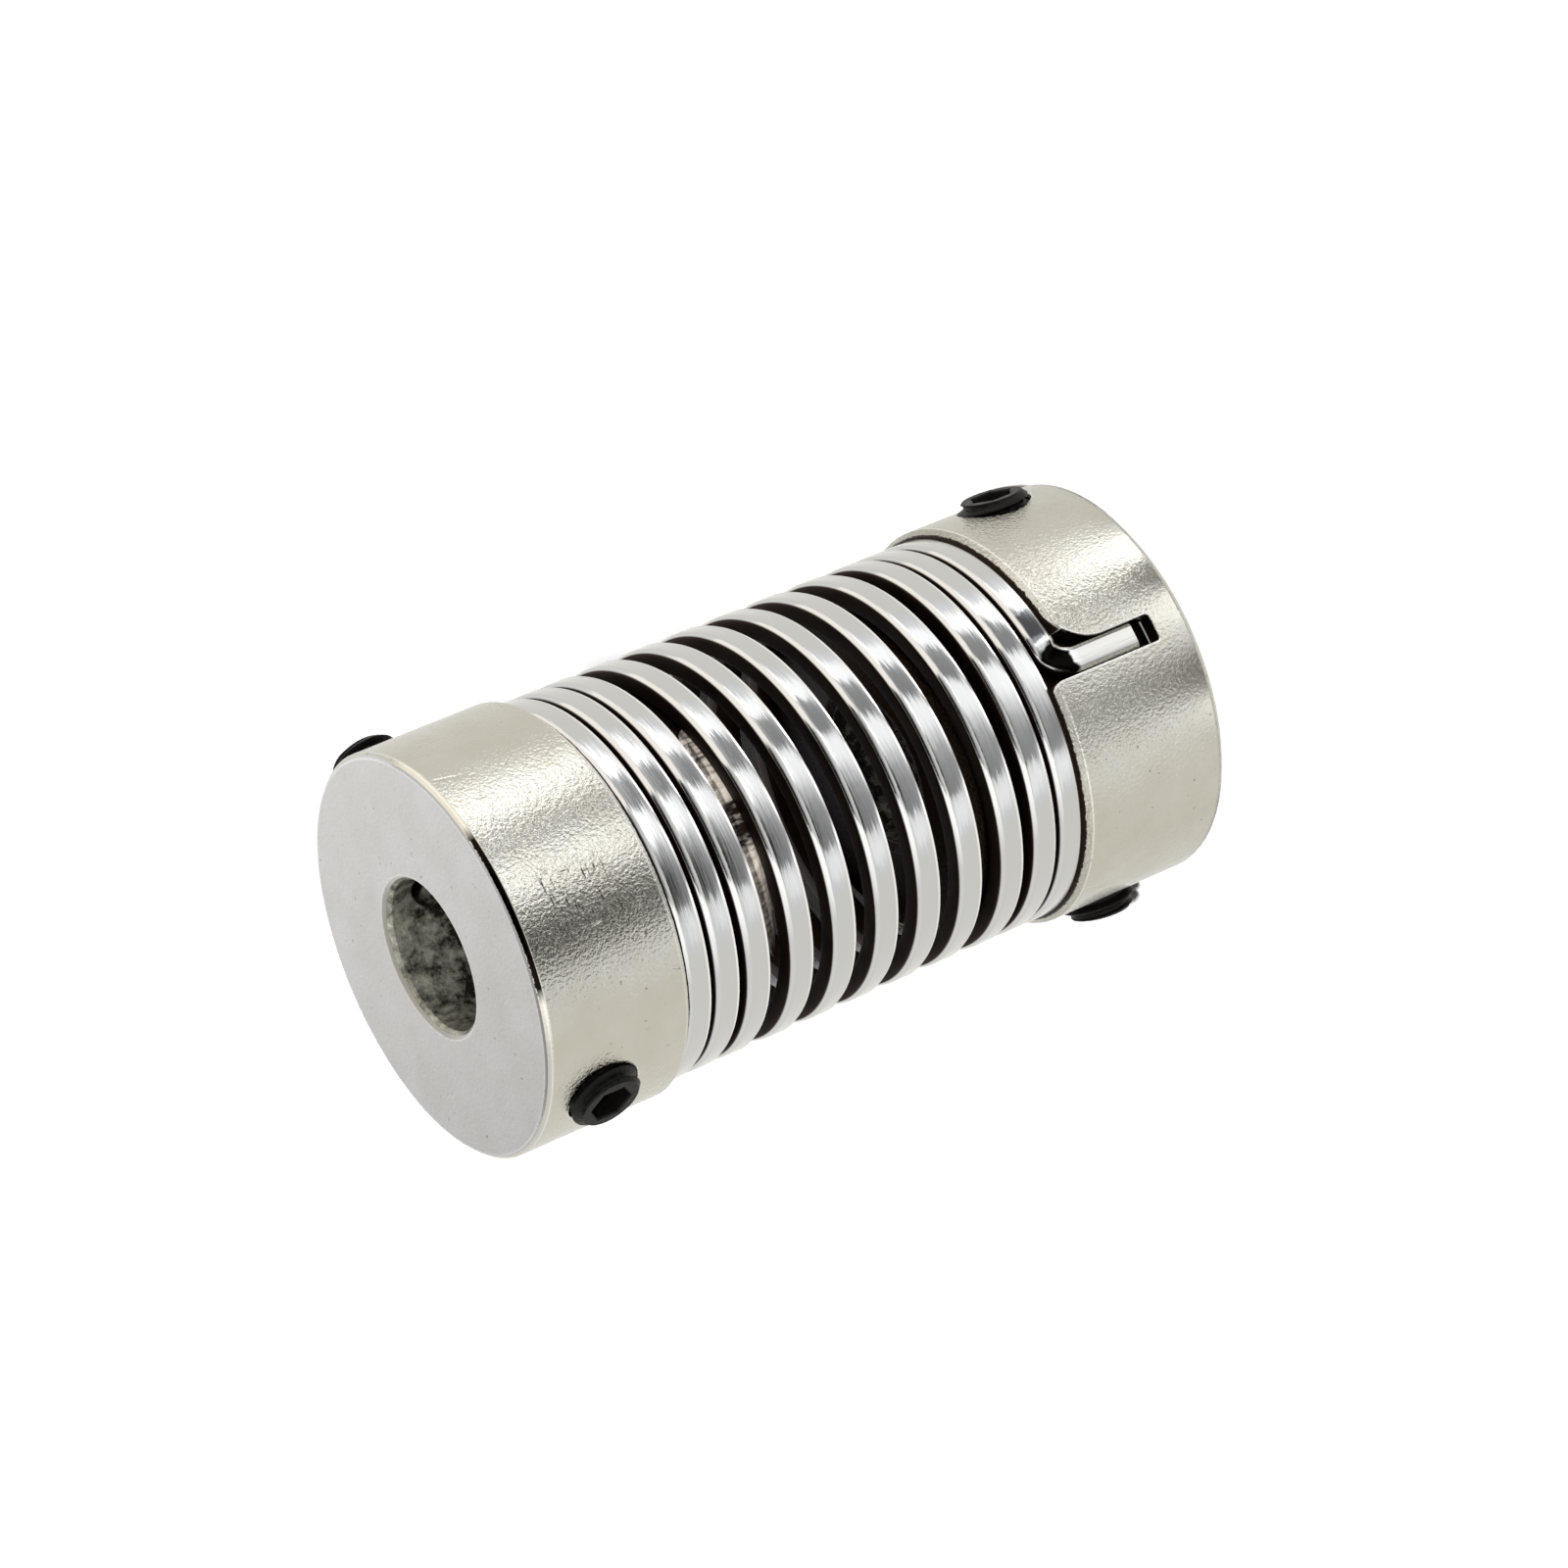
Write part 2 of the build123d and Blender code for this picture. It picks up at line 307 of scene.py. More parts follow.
    polish = addNode(tree, "MapRange", {"To Min": hub["roughness"], "To Max": hub["bevelRoughness"]},
                     {"Value": bevels})
    dull = addNode(tree, "Math", {"operation": "MAXIMUM"}, {0: unpolished, 1: boreEdge})
    roughness = addNode(tree, "Mix", {"data_type": "FLOAT", 3: hub["dullRoughness"]}, {0: dull, 2: polish})
    greyish = addNode(tree, "Math", {"operation": "MAXIMUM"}, {0: boreMask, 1: lip})
    metallic = addNode(tree, "MapRange", {"To Min": 1.0, "To Max": hub["dullMetallic"]}, {"Value": greyish})

    # grain, waves and dents; the lower hub came out of the barrel coarser, and the end faces are calmer
    grain = addNode(tree, "TexNoise", {"Scale": 1 / hub["grainSize"], "Detail": 2.6, "Roughness": 0.6},
                    {"Vector": inMm})
    calm = addNode(tree, "MapRange", {"To Min": 1.0, "To Max": hub["endGrain"]}, {"Value": endMask})
    coarser = addNode(tree, "MapRange", {"From Min": -1.0, "From Max": 1.0, "To Min": hub["lowerGrain"],
                                         "To Max": 1.0}, {"Value": offMiddle})
    grainShare = addNode(tree, "Math", {"operation": "MULTIPLY"}, {0: calm, 1: coarser})
    calmGrain = addNode(tree, "Math", {"operation": "MULTIPLY"}, {0: grain, 1: grainShare})
    waves = addNode(tree, "TexNoise", {"Scale": 1 / hub["waveSize"], "Detail": 1.0}, {"Vector": inMm})
    nickPlace = addNode(tree, "VectorMath", {"operation": "MULTIPLY", 1: (1.0, 1.0, hub["nickStretch"])},
                        {0: inMm})
    nickNoise = addNode(tree, "TexNoise", {"Scale": 1 / hub["nickSize"], "Detail": 2.0, "Distortion": 0.6},
                        {"Vector": nickPlace})
    nicks = addNode(tree, "MapRange", {"From Min": 0.69, "From Max": 0.76, "To Min": 1.0, "To Max": 0.0},
                    {"Value": nickNoise})
    calmNicks = addNode(tree, "Math", {"operation": "MULTIPLY"}, {0: nicks, 1: calm})

    # the bevel at the foot of the shoulder is worn round into the wall
    wornShare = addNode(tree, "MapRange", {"To Max": hub["wornBevel"]}, {"Value": bevels})
    outwards = addNode(tree, "VectorMath", {"operation": "NORMALIZE"}, {0: flat})
    normal = addNode(tree, "Mix", {"data_type": "VECTOR"}, {0: wornShare, 4: normal, 5: outwards}).outputs[1]
    # bevels at the end face are worn into it for part of their width
    upOrDown = addNode(tree, "Math", {"operation": "SIGN"}, {0: offMiddle})
    endNormal = addNode(tree, "CombineXYZ", None, {"Z": upOrDown})
    flatRadius = between(tree, radius, *hub["flatRadius"], soft=0.02)
    flatEnd = addNode(tree, "Math", {"operation": "MULTIPLY"}, {0: flatRadius, 1: endMask})
    normal = addNode(tree, "Mix", {"data_type": "VECTOR"}, {0: flatEnd, 4: normal, 5: endNormal}).outputs[1]
    for texture, size in ((waves, "waveHeight"), (calmNicks, "nickDepth"), (calmGrain, "grainHeight")):
        normal = addNode(tree, "Bump", {"Strength": 1.0, "Distance": hub[size] * mm},
                         {"Height": texture, "Normal": normal})

    shader = addNode(tree, "BsdfPrincipled", None, {"Base Color": color, "Metallic": metallic,
                                                    "Roughness": roughness, "Normal": normal})
    addNode(tree, "OutputMaterial", None, {"Surface": shader})
    return material


nickel = nickelPlate()
for name in ("lower_hub", "upper_hub"):
    wear(nodes[name], nickel)
print("hubs: nickel plate on the turned bodies")


# Flat wire of drawn stainless: bright, with fine drawing lines along it and a painted highlight along its
# lower edge. The inner face and the flanks are painted dark as shade.
springWire = {
    "width": 1.05,
    "thickness": 0.85,
    "upperCorner": (0.24, 0.31),  # corners of the drawn section, inwards and along the axis
    "innerCorner": 0.1,
    "rubbedFlatAndHighlightEdge": (0.062, 0.125),  # flat rubbed along the lower edge, inwards and along the axis
    "rubbedEnds": ((0.012, 0.005), (0.003, 0.02)),  # how its two sides are broken
    "closedPitch": 1.25,
    "closedAngle": 880.0,
    "blendAngle": 70.0,
    "springAngle": 4140.0,
    "hookBend": 1.15,
    "tangHeight": 2.3,
    "seatHeight": 5.52,  # underside of the wire at the slot
    "slotAngle": -67.5,
    "coilStep": 3.0,  # degrees between sections
    "tangSteps": 9,
    "bendSteps": 16,
    "sharpAngle": 40.0,
    "pressDepth": 0.14,  # mark of the bending tool in the hook
    "pressFrom": (3.1, 3.95, 4.4),  # where it starts, is deepest and ends, from the tip of the tang
    "steel": "#CBCBC9",
    "edge": "#F2F1EE",  # painted highlight along the lower edge
    # painted shade on the inner face and the flanks, in two tones mottled at random
    "paintedDark": "#3E2F26",
    "paintedDarkDeep": "#17100C",
    "roughness": 0.08,
    "edgeRoughness": 0.16,
    "dullLane": 0.2,  # rougher lane along the lower edge
    "dullFrom": (-0.18, -0.3),  # where it begins and is full, across the wire
    "highlightFrom": -0.41,  # where the painted highlight along the lower edge is full
    "paintedDarkRoughness": 0.6,
    "paintedDarkFrom": 0.14,  # where the painted shade starts, below the outer face
    # marks at the hooks: tone, from and to along the wire, from and to across it, lean, softness
    "hookMarks": [("#BFBEB9", -1.0, 2.5, -0.6, 0.6, 0.3, 0.3),  # tang a little darker where it lies in its slot
                  ("#7A7A7D", 4.6, 5.8, -0.3, 0.3, 0.0, 0.1),  # where the bending tool gripped
                  ("#0B0A09", 2.98, 4.15, -0.34, 0.42, 0.4, 0.12)],  # oil left in the bend
    "markWander": 0.5,  # how far their ends wander
    # real drawing lines are about a hundredth wide, too fine to show, so these are drawn coarser
    "lineWidth": 0.1,
    "lineLength": 1.6,
    "lineHeight": 0.008,
    "laneSize": (2.5, 1 / 11, 1.0),  # lanes between drawing lines: along, across and out of the wire
    "laneTilt": 0.085,  # how far the lanes lean sideways
    "shadeMottlePerMm": 0.9,
    "smudgesPerMm": 2.2,
}


def wireHeight(angle):
    wire = springWire
    half = wire["springAngle"] / 2
    if angle > half:
        return overallLength - wireHeight(wire["springAngle"] - angle)
    first = wire["seatHeight"] + wire["width"] / 2
    closedRise = wire["closedPitch"] * half / 360
    freeRise = overallLength / 2 - first - closedRise
    freePitch = wire["closedPitch"] + freeRise * 360 / (half - wire["closedAngle"])
    into = angle - (wire["closedAngle"] - wire["blendAngle"] / 2)
    if into <= 0:
        extra = 0.0
    elif into < wire["blendAngle"]:
        extra = into ** 2 / (2 * wire["blendAngle"])
    else:
        extra = into - wire["blendAngle"] / 2
    return first + (wire["closedPitch"] * angle + (freePitch - wire["closedPitch"]) * extra) / 360


def wireStations():
    wire = springWire
    bend, tang = wire["hookBend"], wire["tangHeight"]
    slope = math.atan(wire["closedPitch"] / (2 * math.pi * springRadius))
    coilStart = math.degrees(bend * (1 - math.sin(slope)) / springRadius)
    bendHeight = wireHeight(coilStart) - bend * math.cos(slope)
    stations = []  # angle from the slot, height, turn of the wire away from upright
    for i in range(wire["tangSteps"]):
        stations.append((0.0, tang + (bendHeight - tang) * i / wire["tangSteps"], 0.0))
    for i in range(wire["bendSteps"] + 1):
        turn = (math.pi / 2 - slope) * i / wire["bendSteps"]
        reach = bend * (1 - math.cos(turn))
        stations.append((math.degrees(reach / springRadius), bendHeight + bend * math.sin(turn), turn))
    last = wire["springAngle"] / 2
    count = round((last - coilStart) / wire["coilStep"])
    for i in range(1, count + 1):
        angle = coilStart + (last - coilStart) * i / count
        rise = wireHeight(angle + 0.5) - wireHeight(angle - 0.5)  # over one degree
        turn = math.pi / 2 - math.atan(rise / math.radians(springRadius))
        stations.append((angle, wireHeight(angle), turn))
    upper = [(wire["springAngle"] - a, overallLength - h, t) for a, h, t in stations[-2::-1]]
    return stations + upper


def wireSection():
    wire = springWire
    inner = springRadius - wire["thickness"]
    half = wire["width"] / 2
    (deep, wide), small = wire["upperCorner"], wire["innerCorner"]
    corners = [  # middle of each rounded corner, its two radii, where its arc starts and its steps
        (springRadius - deep, half - wide, deep, wide, 0, 8),
        (inner + small, half - small, small, small, 90, 4),
        (inner + small, small - half, small, small, 180, 4),
    ]
    section = []
    for radius, offset, inwards, sideways, start, steps in corners:
        for i in range(steps + 1):
            turn = math.radians(start + 90 * i / steps)
            section.append((radius + inwards * math.cos(turn), offset + sideways * math.sin(turn)))
    rubIn, rubAlong = wire["rubbedFlatAndHighlightEdge"]
    (lowIn, lowAlong), (highIn, highAlong) = wire["rubbedEnds"]
    section += [(springRadius - rubIn - lowIn, -half), (springRadius - rubIn, lowAlong - half),
                (springRadius - highIn, rubAlong - half), (springRadius, rubAlong + highAlong - half)]
    return section


def pressDepth(fromTip):
    start, deepest, end = springWire["pressFrom"]
    side = start if fromTip < deepest else end
    share = max(1 - abs((fromTip - deepest) / (side - deepest)), 0)
    return springWire["pressDepth"] * share


def flatWireSpring():
    section = wireSection()
    sides = len(section)
    vertices, along, fromTips, across, outwards = [], [], [], [], []
    middleRadius = springRadius - springWire["thickness"] / 2
    stations = wireStations()
    places = [(math.radians(angle) * springRadius, height) for angle, height, turn in stations]
    walked = [0.0]
    for before, here in zip(places, places[1:]):
        walked.append(walked[-1] + math.dist(before, here))
    for (angle, height, turn), travelled in zip(stations, walked):
        fromTip = min(travelled, walked[-1] - travelled)
        pressed = pressDepth(fromTip)
        for radius, offset in section:
            outwards.append(radius)
            radius -= pressed if radius > middleRadius else 0
            around = math.radians(springWire["slotAngle"] + angle) - offset * math.cos(turn) / springRadius
            up = height + offset * math.sin(turn)
            vertices.append((radius * math.cos(around), radius * math.sin(around), up))
            along.append(travelled)
            fromTips.append(fromTip)
            across.append(offset)
    rings = len(stations)
    faces = []
    for r in range(rings - 1):
        for k in range(sides):
            a, b = r * sides + k, r * sides + (k + 1) % sides
            faces.append((a, a + sides, b + sides, b))
    faces.append(tuple(range(sides)))
    faces.append(tuple(reversed(range((rings - 1) * sides, rings * sides))))
    measures = {"alongWire": along, "fromTip": fromTips, "acrossWire": across, "outOfAxis": outwards}
    return buildMesh("flatWireSpring", vertices, faces, springWire["sharpAngle"], measures)


def drawnStainless():
    wire = springWire
    material = newMaterial("drawnStainless")
    tree = material.node_tree
    inMm = placeInMm(tree)
    along, fromTip, across, outOfAxis = [
        addNode(tree, "Attribute", {"attribute_name": name}).outputs["Fac"]
        for name in ("alongWire", "fromTip", "acrossWire", "outOfAxis")
    ]
    onWire = addNode(tree, "CombineXYZ", None, {"X": along, "Y": across, "Z": outOfAxis})

    # painted shade inside, painted highlight along the lower edge
    shadeMottle = addNode(tree, "TexNoise", {"Scale": wire["shadeMottlePerMm"], "Detail": 4.0}, {"Vector": inMm})
    paintedDark = addNode(tree, "Mix", {"data_type": "RGBA", 6: linearColor(wire["paintedDark"]),
                                  7: linearColor(wire["paintedDarkDeep"])}, {0: shadeMottle})
    lowerEdgeHighlight = between(tree, across, high=wire["highlightFrom"], soft=0.02)
    steel = addNode(tree, "Mix", {"data_type": "RGBA", 6: linearColor(wire["steel"]),
                                  7: linearColor(wire["edge"])}, {0: lowerEdgeHighlight})
    outside = steel.outputs[2]

    # marks at the hooks, with wandering ends
    smudges = addNode(tree, "TexNoise", {"Scale": wire["smudgesPerMm"], "Detail": 3.0}, {"Vector": onWire})
    wander = wire["markWander"]
    for tone, start, end, left, right, slant, soft in wire["hookMarks"]:
        slanted = addNode(tree, "Math", {"operation": "MULTIPLY_ADD", 1: slant}, {0: across, 2: fromTip})
        ragged = addNode(tree, "Math", {"operation": "MULTIPLY_ADD", 1: wander}, {0: smudges, 2: slanted})
        lengthways = between(tree, ragged, start + wander / 2, end + wander / 2, soft)
        sideways = between(tree, across, left, right)
        mark = addNode(tree, "Math", {"operation": "MULTIPLY"}, {0: lengthways, 1: sideways})
        marked = addNode(tree, "Mix", {"data_type": "RGBA", 7: linearColor(tone)}, {0: mark, 6: outside})
        outside = marked.outputs[2]

    # painted shade on the inner face and the flanks
    paintedDarkMask = between(tree, outOfAxis, high=springRadius - wire["paintedDarkFrom"], soft=0.05)
    color = addNode(tree, "Mix", {"data_type": "RGBA"}, {0: paintedDarkMask, 6: outside, 7: paintedDark.outputs[2]})
    laneFrom, laneFull = wire["dullFrom"]
    dullLane = addNode(tree, "MapRange", {"From Min": laneFrom, "From Max": laneFull,
                                          "To Min": wire["roughness"], "To Max": wire["dullLane"]},
                       {"Value": across})
    steelRoughness = addNode(tree, "Mix", {"data_type": "FLOAT", 3: wire["edgeRoughness"]},
                             {0: lowerEdgeHighlight, 2: dullLane})
    roughness = addNode(tree, "Mix", {"data_type": "FLOAT", 3: wire["paintedDarkRoughness"]},
                        {0: paintedDarkMask, 2: steelRoughness})

    # drawing lines, and the lanes between them that lean a little to either side
    lineStretch = (1 / wire["lineLength"], 1 / wire["lineWidth"], 1 / wire["lineWidth"])
    linePlace = addNode(tree, "VectorMath", {"operation": "MULTIPLY", 1: lineStretch}, {0: onWire})
    lines = addNode(tree, "TexNoise", {"Scale": 1.0, "Detail": 3.0, "Roughness": 0.6}, {"Vector": linePlace})
    bump = addNode(tree, "Bump", {"Strength": 1.0, "Distance": wire["lineHeight"] * mm}, {"Height": lines})
    laneStretch = [1 / size for size in wire["laneSize"]]
    lanePlace = addNode(tree, "VectorMath", {"operation": "MULTIPLY", 1: laneStretch}, {0: onWire})
    lanes = addNode(tree, "TexNoise", {"Scale": 1.0, "Detail": 2.0, "Roughness": 0.7}, {"Vector": lanePlace})
    halfTilt = wire["laneTilt"] / 2
    tilt = addNode(tree, "MapRange", {"From Min": 0.25, "From Max": 0.75, "To Min": -halfTilt,
                                      "To Max": halfTilt}, {"Value": lanes})
    acrossAxis = addNode(tree, "Tangent", {"direction_type": "RADIAL", "axis": "Z"})
    push = addNode(tree, "VectorMath", {"operation": "SCALE"}, {0: acrossAxis, "Scale": tilt})
    pushed = addNode(tree, "VectorMath", {"operation": "ADD"}, {0: bump, 1: push})
    normal = addNode(tree, "VectorMath", {"operation": "NORMALIZE"}, {0: pushed})

    shader = addNode(tree, "BsdfPrincipled", {"Metallic": 1.0},
                     {"Base Color": color.outputs[2], "Roughness": roughness, "Normal": normal})
    addNode(tree, "OutputMaterial", None, {"Surface": shader})
    return material


spring = flatWireSpring()
wear(spring, drawnStainless())
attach(spring, "root")
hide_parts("spring")
print("spring: one flat wire from tang to tang,", len(spring.data.polygons), "faces")


# Torn steel: a strip of skin that the lathe tool dragged along the end of the upper spigot. It is crumpled
# and scratched along the axis; its colour is painted light, set by the angle around the axis: painted
# highlights, and nearly black where dark reflections and shade are painted.
tornStrip = {
    "radius": 6.755,  # of the spigot wall
    "length": 1.0,
    "leastLength": 0.05,
    "raggedLength": 0.25,  # how far its edge wanders
    "raggedPerMm": 0.9,
    "start": 0.02,  # from the end of the spigot
    "sunk": 0.008,  # its sides lie this far below the wall
    "swell": 0.05,  # how far the dragged skin stands up
    "swellRise": (7, 3),  # it rises over a seventh of its length and falls over a third
    "crumple": 0.05,
    "crumpleSize": (0.42, 1.3),  # around and along the axis
    "crumpleLean": 0.7,
    "crumpleNoise": (0.8, 2.2, 3),  # how rough, how much finer each layer, and the layers
    "sides": 420,
    "rows": 30,
    "sharpAngle": 50.0,
    # degrees around the axis, share of its height, painted tone from dark (0), which stands for dark
    # reflections and shade, to a painted highlight (1), and how scratched it is
    "tones": [(-121, 0.0, 0.0, 0.1), (-112, 0.6, 0.2, 0.1), (-100, 0.9, 0.32, 0.15), (-92, 1.0, 0.5, 0.3),
              (-86, 1.0, 0.95, 0.5), (-81, 0.9, 0.85, 0.8), (-79, 0.8, 0.0, 0.9), (-70, 0.8, 0.0, 0.9),
              (-67, 0.9, 0.1, 1.0), (-64, 1.0, 1.0, 0.8), (-54, 1.0, 1.0, 1.0), (-48, 0.9, 0.65, 1.2),
              (-42, 0.8, 0.8, 1.0), (-38, 0.5, 0.5, 0.8), (-35, 0.0, 0.0, 0.0)],
    # painted tones: the dark one for dark reflections and shade, the bright one for highlights
    "paintedDark": "#241B16",
    "bright": "#FBEFE0",
    "metallic": 0.35,
    "roughness": 0.3,
    "scratchesPerMm": (4.5, 4.5, 0.8),  # long along the axis
}


def alongTable(table, at):
    for (low, *before), (high, *after) in zip(table, table[1:]):
        if low <= at <= high:
            share = (at - low) / (high - low)
            return [b + (a - b) * share for b, a in zip(before, after)]


def tornSkin():
    torn = tornStrip
    end = overallLength - spigotTop
    first, last = torn["tones"][0][0], torn["tones"][-1][0]
    around, along = torn["crumpleSize"]
    rise, fall = torn["swellRise"]
    vertices, tones, scratches = [], [], []
    for i in range(torn["sides"] + 1):
        degrees = first + (last - first) * i / torn["sides"]
        turn = math.radians(degrees)
        share, tone, scratched = alongTable(torn["tones"], degrees)
        out = Vector((math.cos(turn), math.sin(turn), 0))
        walk = turn * torn["radius"]
        wander = torn["raggedLength"] * noise.noise(Vector((walk * torn["raggedPerMm"], 3, 0)))
        reach = torn["leastLength"] + (torn["length"] + wander) * share
        for j in range(torn["rows"] + 1):
            up = j / torn["rows"]
            height = torn["start"] + reach * up
            place = Vector((walk / around + height * torn["crumpleLean"], height / along, 0))
            fold = noise.fractal(place, *torn["crumpleNoise"])
            raised = (torn["swell"] + torn["crumple"] * fold) * min(up * rise, (1 - up) * fall, 1)
            radius = torn["radius"] - torn["sunk"] + max(raised, 0)
            vertices.append(out * radius + Vector((0, 0, end + height)))
            tones.append(tone)
            scratches.append(scratched)
    width = torn["rows"] + 1
    faces = []
    for i in range(torn["sides"]):
        a, b = i * width, (i + 1) * width
        faces += [(a + j, b + j, b + j + 1, a + j + 1) for j in range(torn["rows"])]
    measures = {"tone": tones, "scratched": scratches}
    return buildMesh("tornStrip", vertices, faces, torn["sharpAngle"], measures)


def tornSteel():
    material = newMaterial("tornSteel")
    tree = material.node_tree
    tone, howMuch = [addNode(tree, "Attribute", {"attribute_name": name}).outputs["Fac"]
                     for name in ("tone", "scratched")]
    stretched = addNode(tree, "VectorMath", {"operation": "MULTIPLY", 1: tornStrip["scratchesPerMm"]},
                        {0: placeInMm(tree)})
    scratches = addNode(tree, "TexNoise", {"Scale": 1.0, "Detail": 4.0, "Roughness": 0.65},
                        {"Vector": stretched})
    scratched = addNode(tree, "MapRange", {"From Min": 0.38, "From Max": 0.62,
                                           "To Min": -0.55, "To Max": 0.4}, {"Value": scratches})
    scratch = addNode(tree, "Math", {"operation": "MULTIPLY"}, {0: scratched, 1: howMuch})
    # the colour is painted by angle, from dark reflections and shade to highlights, and broken by scratches
    amount = addNode(tree, "Math", {"operation": "ADD", "use_clamp": True}, {0: tone, 1: scratch})
    color = addNode(tree, "Mix", {"data_type": "RGBA", 6: linearColor(tornStrip["paintedDark"]),
                                  7: linearColor(tornStrip["bright"])}, {0: amount})
    shader = addNode(tree, "BsdfPrincipled", {"Metallic": tornStrip["metallic"],
                                              "Roughness": tornStrip["roughness"]},
                     {"Base Color": color.outputs[2]})
    addNode(tree, "OutputMaterial", None, {"Surface": shader})
    return material


strip = tornSkin()
wear(strip, tornSteel())
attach(strip, "root")
print("upper spigot: strip of torn skin")


# Set screws, M3 by 5, headless with a hexagon socket, in black oxide: near black, dull and a little uneven.
setScrew = {
    "pitch": 0.5,
    "threadDepth": 0.3,
    "crestShare": 0.125,  # flat of a crest, of the way from its middle to the middle of the groove
    "flankShare": 0.625,
    "socketWidth": 1.5,  # across flats
    "socketDepth": 1.6,
    "socketBevel": 0.06,
    "drillPoint": (0.3, 0.25),  # radius and depth of the floor of the socket
    "endChamfer": 0.28,
    "cupEdge": 0.35,  # of the cup point at the inner end
    "cupFloor": (0.2, 0.35),  # its radius and depth
    "sides": 72,
    "rowsPerPitch": 16,
    "sharpAngle": 35.0,
    "oxide": "#050505",
    "oxideThin": "#0E0C0B",
    "roughness": (0.28, 0.55),
    "gloss": 0.13,
    # the crystals of black oxide are thousandths wide, too fine to show, so both grains are drawn coarser
    "mottleSize": 1 / 3,
    "grainSize": 1 / 9,
    "grainHeight": 0.03,
}


def threadRadius(crest, phase):
    fromCrest = abs((phase + 0.5) % 1 - 0.5) * 2
    flank = min(max((fromCrest - setScrew["crestShare"]) / setScrew["flankShare"], 0), 1)
    return crest - setScrew["threadDepth"] * flank


def hexagonRing(width, along):
    corner = 360 / 6
    ring = []
    for i in range(setScrew["sides"]):
        offFlat = (i * 360 / setScrew["sides"] + corner / 2) % corner - corner / 2
        ring.append((width / 2 / math.cos(math.radians(offFlat)), along))
    return ring


def roundRing(radius, along):
    return [(radius, along)] * setScrew["sides"]


def threadedScrew(name, node):
    spec = setScrew
    sides = spec["sides"]
    low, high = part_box(node)
    centre = (low + high) / 2 / mm
    outward = Vector((centre.x, centre.y, 0)).normalized()
    upright = Vector((0, 0, 1))
    level = upright.cross(outward)
    crest = (high.z - low.z) / 2 / mm
    frontLow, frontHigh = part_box("lower_set_screw_front")  # this one lies along X
    length = (frontHigh.x - frontLow.x) / mm
    top = length / 2
    endRadius = crest - spec["endChamfer"]

    # from the cup point at the inner end to the drill point under the socket, as radius and place along it
    cupRadius, cupDepth = spec["cupFloor"]
    rings = [roundRing(cupRadius, -top + cupDepth), roundRing(endRadius - spec["cupEdge"], -top)]
    rows = round(length / spec["pitch"] * spec["rowsPerPitch"])
    for j in range(rows + 1):
        along = -top + length * j / rows
        toEnd = top - abs(along)
        ring = []
        for i in range(sides):
            thread = threadRadius(crest, along / spec["pitch"] - i / sides)
            ring.append((min(thread, endRadius + toEnd), along))
        rings.append(ring)
    socket, bevel = spec["socketWidth"], spec["socketBevel"]
    drillRadius, drillDepth = spec["drillPoint"]
    rings.append(roundRing(endRadius - bevel, top))
    rings.append(hexagonRing(socket + 2 * bevel, top))
    rings.append(hexagonRing(socket, top - bevel))
    rings.append(hexagonRing(socket, top - spec["socketDepth"]))
    rings.append(roundRing(drillRadius, top - spec["socketDepth"] - drillDepth))

    vertices = []
    for ring in rings:
        for i, (radius, along) in enumerate(ring):
            turn = 2 * math.pi * i / sides
            around = level * math.cos(turn) + upright * math.sin(turn)
            vertices.append(centre + around * radius + outward * along)
    faces = []
    for r in range(len(rings) - 1):
        for i in range(sides):
            a, b = r * sides + i, r * sides + (i + 1) % sides
            faces.append((a, b, b + sides, a + sides))
    faces.append(tuple(reversed(range(sides))))
    faces.append(tuple(range((len(rings) - 1) * sides, len(rings) * sides)))
    return buildMesh(name, vertices, faces, spec["sharpAngle"])


def blackOxide():
    material = newMaterial("blackOxide")
    tree = material.node_tree
    inMm = placeInMm(tree)
    mottle = addNode(tree, "TexNoise", {"Scale": 1 / setScrew["mottleSize"], "Detail": 4.0}, {"Vector": inMm})
    color = addNode(tree, "Mix", {"data_type": "RGBA", 6: linearColor(setScrew["oxide"]),
                                  7: linearColor(setScrew["oxideThin"])}, {0: mottle})
    smooth, rough = setScrew["roughness"]
    roughness = addNode(tree, "MapRange", {"To Min": smooth, "To Max": rough}, {"Value": mottle})
    grain = addNode(tree, "TexNoise", {"Scale": 1 / setScrew["grainSize"], "Detail": 3.0}, {"Vector": inMm})
    bump = addNode(tree, "Bump", {"Distance": setScrew["grainHeight"] * mm}, {"Height": grain})
    shader = addNode(tree, "BsdfPrincipled", {"Specular IOR Level": setScrew["gloss"]},
                     {"Base Color": color.outputs[2], "Roughness": roughness, "Normal": bump})
    addNode(tree, "OutputMaterial", None, {"Surface": shader})
    return material


oxide = blackOxide()
screwNames = {
    "lower_set_screw_front": "lowerScrewFront",
    "lower_set_screw_rear": "lowerScrewRear",
    "upper_set_screw_front": "upperScrewFront",
    "upper_set_screw_rear": "upperScrewRear",
}
for node, name in screwNames.items():
    screw = threadedScrew(name, node)
    wear(screw, oxide)
    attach(screw, "root")
    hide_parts(node)
print("set screws: four threaded screws with sockets")


# Camera, key lamp and the room's soft white.
studio = {
    "aim": (0.93, -0.12, 14.80),
    "distance": 226.1,
    "azimuth": -74.54,
    "elevation": 27.58,
    "roll": -112.69,
    "lens": 136.71,
    "sensor": 36.0,
    "clipStart": 5.0,
    "keyElevation": 38.0,
    "keyDistance": 900.0,
    "keySoftness": 4.0,
    "keyPower": 3.8,
    "fill": 0.012,
    "white": (1.0, 0.05),  # the room in what metal mirrors, and what of that the metal passes on to the floor
}

# Pale matt floor: white to look at, with the shadow kept, and a plain warm white in what the metal mirrors.
floorSheet = {
    "size": 3000,
    "lit": 0.9,
    "shown": 1.5,  # above 1, so that it looks white where the key lamp reaches
    "mirrored": "#FFFEF9",
    "mirroredStrength": (0.95, 0.06),  # second value: a shadow on the floor isn't lit again by the metal
}

